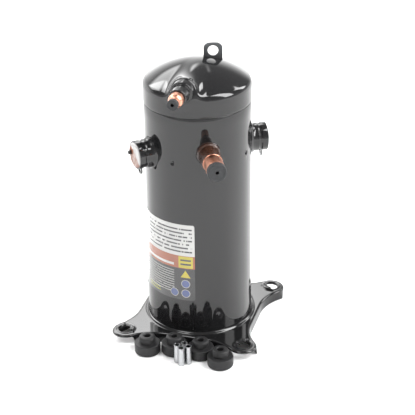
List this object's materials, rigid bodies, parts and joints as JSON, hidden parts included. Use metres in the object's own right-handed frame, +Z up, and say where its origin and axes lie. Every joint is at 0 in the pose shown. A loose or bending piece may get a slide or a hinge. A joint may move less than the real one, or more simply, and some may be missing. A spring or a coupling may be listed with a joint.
{
  "type": "scroll compressor",
  "caption": "Hermetic scroll compressor on a four-footed plate: black shell with suction and discharge stubs, terminal fences, lifting eye and loose mounting kit.",
  "frame": {"origin": "centre of the four foot holes, in the plane of the feet's underside", "axes": "+Z up along the shaft, -Y towards the discharge stub, +X to the right seen from the discharge side"},
  "size_m": [0.2344, 0.2714, 0.4645],
  "materials": {
    "black_enamel": "gloss black enamel",
    "plain_steel": "satin",
    "dark_steel": "dark satin",
    "ground_steel": "ground",
    "zinc_steel": "bright zinc plate",
    "label_film": "printed film",
    "copper": "bright copper, heat marked",
    "plug_rubber": "satin",
    "mount_rubber": "satin",
    "seal_glass": "fused",
    "pin_metal": "plated",
    "pale_plastic": "satin",
    "red_plastic": "gloss",
    "black_plastic": "satin",
    "lead_insulation": "satin",
    "lamination": "stacked sheet",
    "enamelled_wire": "varnished copper wire",
    "cast_aluminium": "cast",
    "grey_iron": "machined",
    "bearing_bronze": "bored",
    "seal_ring": "satin",
    "magnet": "sintered"
  },
  "bodies": {
    "housing": {"base_plate": "black_enamel", "bottom_cap": "black_enamel", "center_shell": "black_enamel", "top_cap": "black_enamel", "muffler_plate": "plain_steel", "lifting_eye": "dark_steel", "rating_label": "label_film", "suction_fitting": "black_enamel", "suction_stub": "copper", "discharge_fitting": "black_enamel", "discharge_stub": "copper", "power_fence": "black_enamel", "power_terminal": "plain_steel", "power_glass": "seal_glass", "power_pins": "pin_metal", "power_lead_block": "red_plastic", "power_leads": "lead_insulation", "sensor_fence": "black_enamel", "sensor_terminal": "plain_steel", "sensor_glass": "seal_glass", "sensor_pins": "pin_metal", "stator_core": "lamination", "stator_winding": "enamelled_wire", "motor_protector": "black_plastic", "lower_bearing_housing": "grey_iron", "lower_bearing": "bearing_bronze", "thrust_washer": "bearing_bronze", "main_bearing_housing": "grey_iron", "main_bearing": "bearing_bronze", "scroll_sleeves": "ground_steel", "scroll_bolts": "dark_steel", "suction_baffle": "plain_steel", "sump_magnet": "magnet"},
    "crank": {"crankshaft": "ground_steel", "oil_pickup": "plain_steel", "rotor_core": "lamination", "rotor_cage": "cast_aluminium", "upper_counterweight": "plain_steel", "lower_counterweight": "plain_steel"},
    "bushing": {"drive_bushing": "ground_steel"},
    "orbiting": {"orbiting_scroll": "grey_iron", "drive_bearing": "bearing_bronze"},
    "oldham": {"oldham_coupling": "cast_aluminium"},
    "nonorbiting": {"fixed_scroll": "grey_iron", "valve_retainer": "plain_steel"},
    "seal": {"floating_seal": "seal_ring"},
    "valve": {"discharge_valve": "ground_steel"},
    "suction_plug_body": {"suction_plug": "plug_rubber"},
    "discharge_plug_body": {"discharge_plug": "plug_rubber"},
    "power_cover_body": {"power_cover": "pale_plastic"},
    "sensor_cover_body": {"sensor_cover": "black_plastic"},
    "grommet_body_1": {"grommet_1": "mount_rubber"},
    "sleeve_body_1": {"sleeve_1": "zinc_steel"},
    "grommet_body_2": {"grommet_2": "mount_rubber"},
    "sleeve_body_2": {"sleeve_2": "zinc_steel"},
    "grommet_body_3": {"grommet_3": "mount_rubber"},
    "sleeve_body_3": {"sleeve_3": "zinc_steel"},
    "grommet_body_4": {"grommet_4": "mount_rubber"},
    "sleeve_body_4": {"sleeve_4": "zinc_steel"}
  },
  "joints": [
    {"name": "crankshaft_spin", "type": "hinge", "parent": "housing", "child": "crank", "pos_m": [0, 0, 0.2], "axis": [0, 0, 1], "continuous": true},
    {"name": "bushing_slide", "type": "slide", "parent": "crank", "child": "bushing", "axis": [0, 1, 0], "range_m": [-0.0005, 0]},
    {"name": "orbiting_scroll_turn", "type": "hinge", "parent": "bushing", "child": "orbiting", "pos_m": [0, 0.00409, 0.32], "axis": [0, 0, 1], "continuous": true},
    {"name": "oldham_slide", "type": "slide", "parent": "housing", "child": "oldham", "axis": [1, 0, 0], "range_m": [-0.00409, 0.00409]},
    {"name": "fixed_scroll_float", "type": "slide", "parent": "housing", "child": "nonorbiting", "axis": [0, 0, 1], "range_m": [0, 0.0008]},
    {"name": "seal_float", "type": "slide", "parent": "nonorbiting", "child": "seal", "axis": [0, 0, 1], "range_m": [0, 0.001]},
    {"name": "discharge_valve_lift", "type": "slide", "parent": "nonorbiting", "child": "valve", "axis": [0, 0, 1], "range_m": [0, 0.0025]},
    {"name": "suction_plug_pull", "type": "slide", "parent": "housing", "child": "suction_plug_body", "axis": [0.4462, -0.8949, 0], "range_m": [0, 0.03]},
    {"name": "discharge_plug_pull", "type": "slide", "parent": "housing", "child": "discharge_plug_body", "axis": [0.014, -0.9999, 0], "range_m": [0, 0.025]},
    {"name": "power_cover_pull", "type": "slide", "parent": "housing", "child": "power_cover_body", "axis": [-0.7431, -0.6691, 0], "range_m": [0, 0.025]},
    {"name": "sensor_cover_pull", "type": "slide", "parent": "housing", "child": "sensor_cover_body", "axis": [0.891, 0.454, 0], "range_m": [0, 0.025]},
    {"name": "grommet_1_lift", "type": "slide", "parent": "housing", "child": "grommet_body_1", "axis": [0, 0, 1], "range_m": [0, 0.06]},
    {"name": "grommet_2_lift", "type": "slide", "parent": "housing", "child": "grommet_body_2", "axis": [0, 0, 1], "range_m": [0, 0.06]},
    {"name": "grommet_3_lift", "type": "slide", "parent": "housing", "child": "grommet_body_3", "axis": [0, 0, 1], "range_m": [0, 0.06]},
    {"name": "grommet_4_lift", "type": "slide", "parent": "housing", "child": "grommet_body_4", "axis": [0, 0, 1], "range_m": [0, 0.06]},
    {"name": "sleeve_1_lift", "type": "slide", "parent": "housing", "child": "sleeve_body_1", "axis": [0, 0, 1], "range_m": [0, 0.06]},
    {"name": "sleeve_2_lift", "type": "slide", "parent": "housing", "child": "sleeve_body_2", "axis": [0, 0, 1], "range_m": [0, 0.06]},
    {"name": "sleeve_3_lift", "type": "slide", "parent": "housing", "child": "sleeve_body_3", "axis": [0, 0, 1], "range_m": [0, 0.06]},
    {"name": "sleeve_4_lift", "type": "slide", "parent": "housing", "child": "sleeve_body_4", "axis": [0, 0, 1], "range_m": [0, 0.06]}
  ],
  "couplings": [
    {"joint": "orbiting_scroll_turn", "follows": "crankshaft_spin", "ratio": -1}
  ]
}
